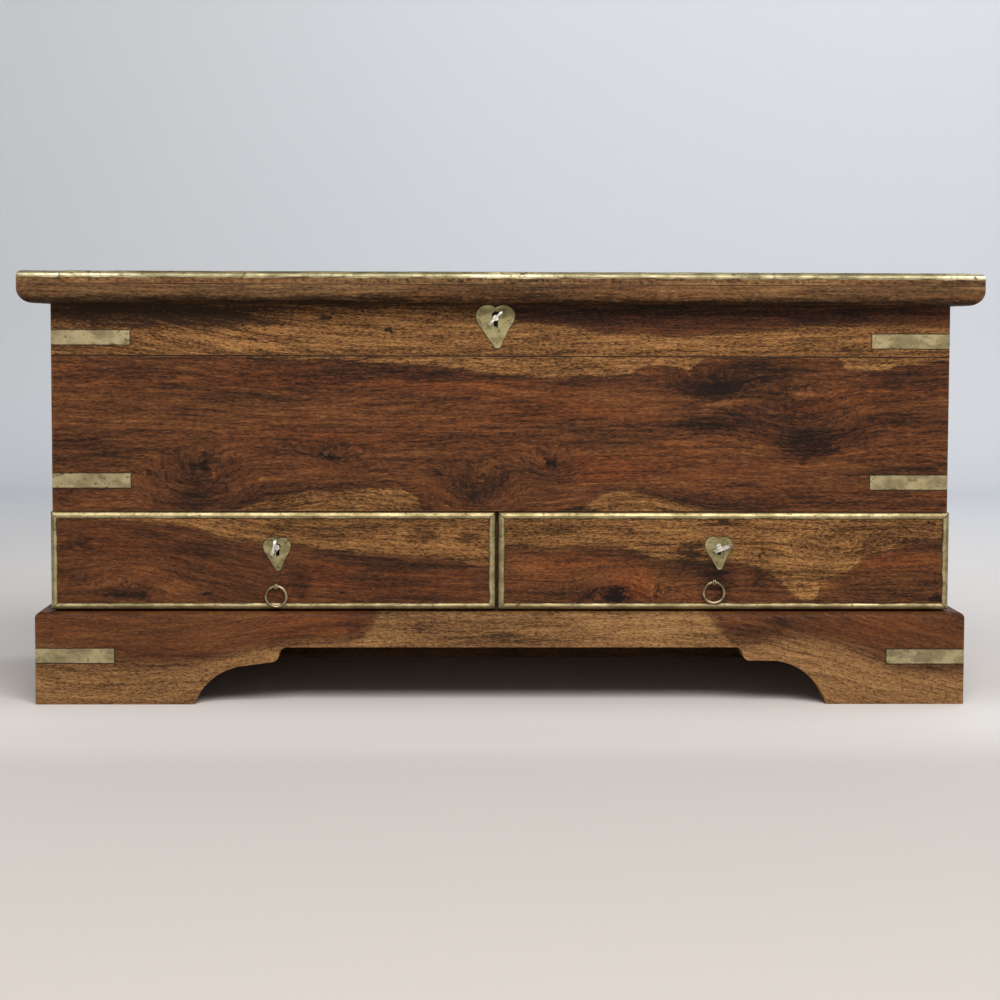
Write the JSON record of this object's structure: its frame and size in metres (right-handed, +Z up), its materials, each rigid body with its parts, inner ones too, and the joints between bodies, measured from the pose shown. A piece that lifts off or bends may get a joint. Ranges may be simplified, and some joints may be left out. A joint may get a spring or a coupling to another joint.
{
  "type": "chest",
  "caption": "Low lidded wooden chest on a bracket plinth, with drawers under the compartment, brass edging, corner straps, heart lock plates, keys and ring pulls.",
  "frame": {"origin": "on the floor, under the middle of the whole chest", "axes": "+X to the right along the length, seen from the front; +Y from the front to the back; +Z up"},
  "size_m": [1.2, 0.5, 0.5417],
  "materials": {
    "rosewood": "oiled, satin",
    "case_wood": "planed, dry",
    "brass": "aged, hand beaten",
    "key_steel": "worn nickel",
    "lock_iron": "dark, worn"
  },
  "bodies": {
    "chest": {"plinth_front": "rosewood", "plinth_back": "case_wood", "plinth_left": "rosewood", "plinth_right": "rosewood", "plinth_corner_blocks": "case_wood", "plinth_straps": "brass", "side_left": "rosewood", "side_right": "rosewood", "case_floor": "case_wood", "chest_floor": "case_wood", "front_board_upper": "rosewood", "front_board_lower": "rosewood", "back_board_lower": "case_wood", "back_board_upper": "case_wood", "drawer_divider": "case_wood", "corner_straps_upper": "brass", "corner_straps_lower": "brass", "heart_escutcheon": "brass", "lid_lock_case": "lock_iron", "hinge_leaves_case": "brass", "hinge_pins": "brass"},
    "lid": {"lid_board_front": "rosewood", "lid_board_back": "rosewood", "lid_moulding_front": "rosewood", "lid_moulding_left": "rosewood", "lid_moulding_right": "rosewood", "lid_brass_front": "brass", "lid_brass_left": "brass", "lid_brass_right": "brass", "lid_battens": "case_wood", "hinge_leaves_lid": "brass", "lid_link_plate": "brass"},
    "drawer_left": {"drawer_left_front": "rosewood", "drawer_left_side_outer": "case_wood", "drawer_left_side_inner": "case_wood", "drawer_left_back": "case_wood", "drawer_left_base": "case_wood", "drawer_left_trim": "brass", "drawer_left_escutcheon": "brass", "drawer_left_lock_case": "lock_iron", "drawer_left_staple": "key_steel"},
    "drawer_right": {"drawer_right_front": "rosewood", "drawer_right_side_outer": "case_wood", "drawer_right_side_inner": "case_wood", "drawer_right_back": "case_wood", "drawer_right_base": "case_wood", "drawer_right_trim": "brass", "drawer_right_escutcheon": "brass", "drawer_right_lock_case": "lock_iron", "drawer_right_staple": "key_steel"},
    "ring_left": {"ring_left": "brass"},
    "ring_right": {"ring_right": "brass"},
    "key_left": {"key_left": "key_steel"},
    "key_right": {"key_right": "key_steel"},
    "bolt_left": {"bolt_left": "brass"},
    "bolt_right": {"bolt_right": "brass"},
    "lid_key": {"lid_key": "key_steel"},
    "lid_bolt": {"lid_bolt": "brass"}
  },
  "joints": [
    {"name": "lid_hinge", "type": "hinge", "parent": "chest", "child": "lid", "pos_m": [0, 0.245, 0.5262], "axis": [-1, 0, 0], "range_deg": [0, 95]},
    {"name": "drawer_left_slide", "type": "slide", "parent": "chest", "child": "drawer_left", "axis": [0, -1, 0], "range_m": [0, 0.3]},
    {"name": "drawer_right_slide", "type": "slide", "parent": "chest", "child": "drawer_right", "axis": [0, -1, 0], "range_m": [0, 0.3]},
    {"name": "ring_left_swing", "type": "hinge", "parent": "drawer_left", "child": "ring_left", "pos_m": [-0.2833, -0.2248, 0.1482], "axis": [-1, 0, 0], "range_deg": [0, 115]},
    {"name": "ring_right_swing", "type": "hinge", "parent": "drawer_right", "child": "ring_right", "pos_m": [0.2678, -0.2248, 0.1533], "axis": [-1, 0, 0], "range_deg": [0, 115]},
    {"name": "lid_bolt_throw", "type": "slide", "parent": "chest", "child": "lid_bolt", "axis": [1, 0, 0], "range_m": [-0.002, 0.008]},
    {"name": "lid_key_turn", "type": "hinge", "parent": "chest", "child": "lid_key", "pos_m": [-0.0085, -0.2137, 0.4849], "axis": [0, 1, 0], "range_deg": [-45.2, 180.2]},
    {"name": "bolt_left_throw", "type": "slide", "parent": "drawer_left", "child": "bolt_left", "axis": [0, 0, 1], "range_m": [-0.00051, 0.007]},
    {"name": "key_left_turn", "type": "hinge", "parent": "drawer_left", "child": "key_left", "pos_m": [-0.2823, -0.2197, 0.197], "axis": [0, 1, 0], "range_deg": [-13.2, 180.2]},
    {"name": "bolt_right_throw", "type": "slide", "parent": "drawer_right", "child": "bolt_right", "axis": [0, 0, 1], "range_m": [-0.00268, 0.007]},
    {"name": "key_right_turn", "type": "hinge", "parent": "drawer_right", "child": "key_right", "pos_m": [0.2736, -0.2197, 0.1987], "axis": [0, 1, 0], "range_deg": [-69.2, 180.2]}
  ],
  "couplings": [
    {"joint": "lid_key_turn", "follows": "lid_bolt_throw", "rad_per_m": 392.7},
    {"joint": "key_left_turn", "follows": "bolt_left_throw", "rad_per_m": 448.8},
    {"joint": "key_right_turn", "follows": "bolt_right_throw", "rad_per_m": 448.8}
  ]
}
